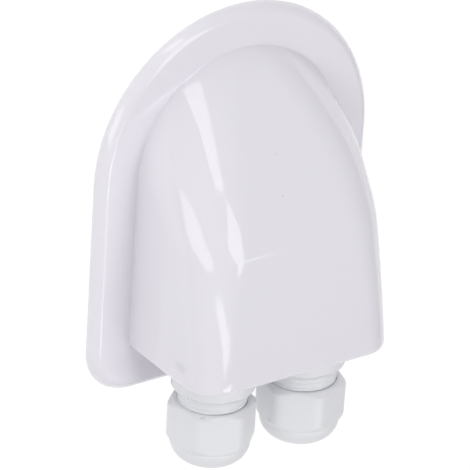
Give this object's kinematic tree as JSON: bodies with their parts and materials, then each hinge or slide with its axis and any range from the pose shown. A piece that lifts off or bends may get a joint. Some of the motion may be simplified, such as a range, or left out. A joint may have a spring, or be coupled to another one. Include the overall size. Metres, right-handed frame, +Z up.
{
  "type": "roof cable entry box",
  "caption": "Low arched plastic hood on a flat bonding flange, with a pair of screw-down cable glands in its straight foot, leads solar cables through a roof.",
  "frame": {"origin": "on the roof plane, under the middle of the whole box", "axes": "+Z up from the roof, +Y towards the arched end, glands point to -Y"},
  "size_m": [0.0946, 0.1346, 0.0417],
  "materials": {
    "housing": "glossy moulded",
    "gland": "satin moulded",
    "claw": "satin moulded",
    "rubber": "matte"
  },
  "bodies": {
    "box": {"housing": "housing", "left_gland_body": "gland", "left_washer": "rubber", "left_lock_nut": "gland", "right_gland_body": "gland", "right_washer": "rubber", "right_lock_nut": "gland"},
    "left_clamp": {"left_claw": "claw", "left_seal": "rubber"},
    "left_nut": {"left_dome_nut": "gland"},
    "right_clamp": {"right_claw": "claw", "right_seal": "rubber"},
    "right_nut": {"right_dome_nut": "gland"}
  },
  "joints": [
    {"name": "left_clamp_feed", "type": "slide", "parent": "box", "child": "left_clamp", "axis": [0, -1, 0], "range_m": [-0.0015, 0.003]},
    {"name": "left_nut_turn", "type": "hinge", "parent": "left_clamp", "child": "left_nut", "pos_m": [-0.016, -0.03397, 0.0208], "axis": [0, -1, 0], "range_deg": [-361, 721]},
    {"name": "right_clamp_feed", "type": "slide", "parent": "box", "child": "right_clamp", "axis": [0, -1, 0], "range_m": [-0.00225, 0.00225]},
    {"name": "right_nut_turn", "type": "hinge", "parent": "right_clamp", "child": "right_nut", "pos_m": [0.016, -0.03397, 0.0208], "axis": [0, -1, 0], "range_deg": [-541, 541]}
  ],
  "couplings": [
    {"joint": "left_nut_turn", "follows": "left_clamp_feed", "rad_per_m": 4188.8},
    {"joint": "right_nut_turn", "follows": "right_clamp_feed", "rad_per_m": 4188.8}
  ]
}
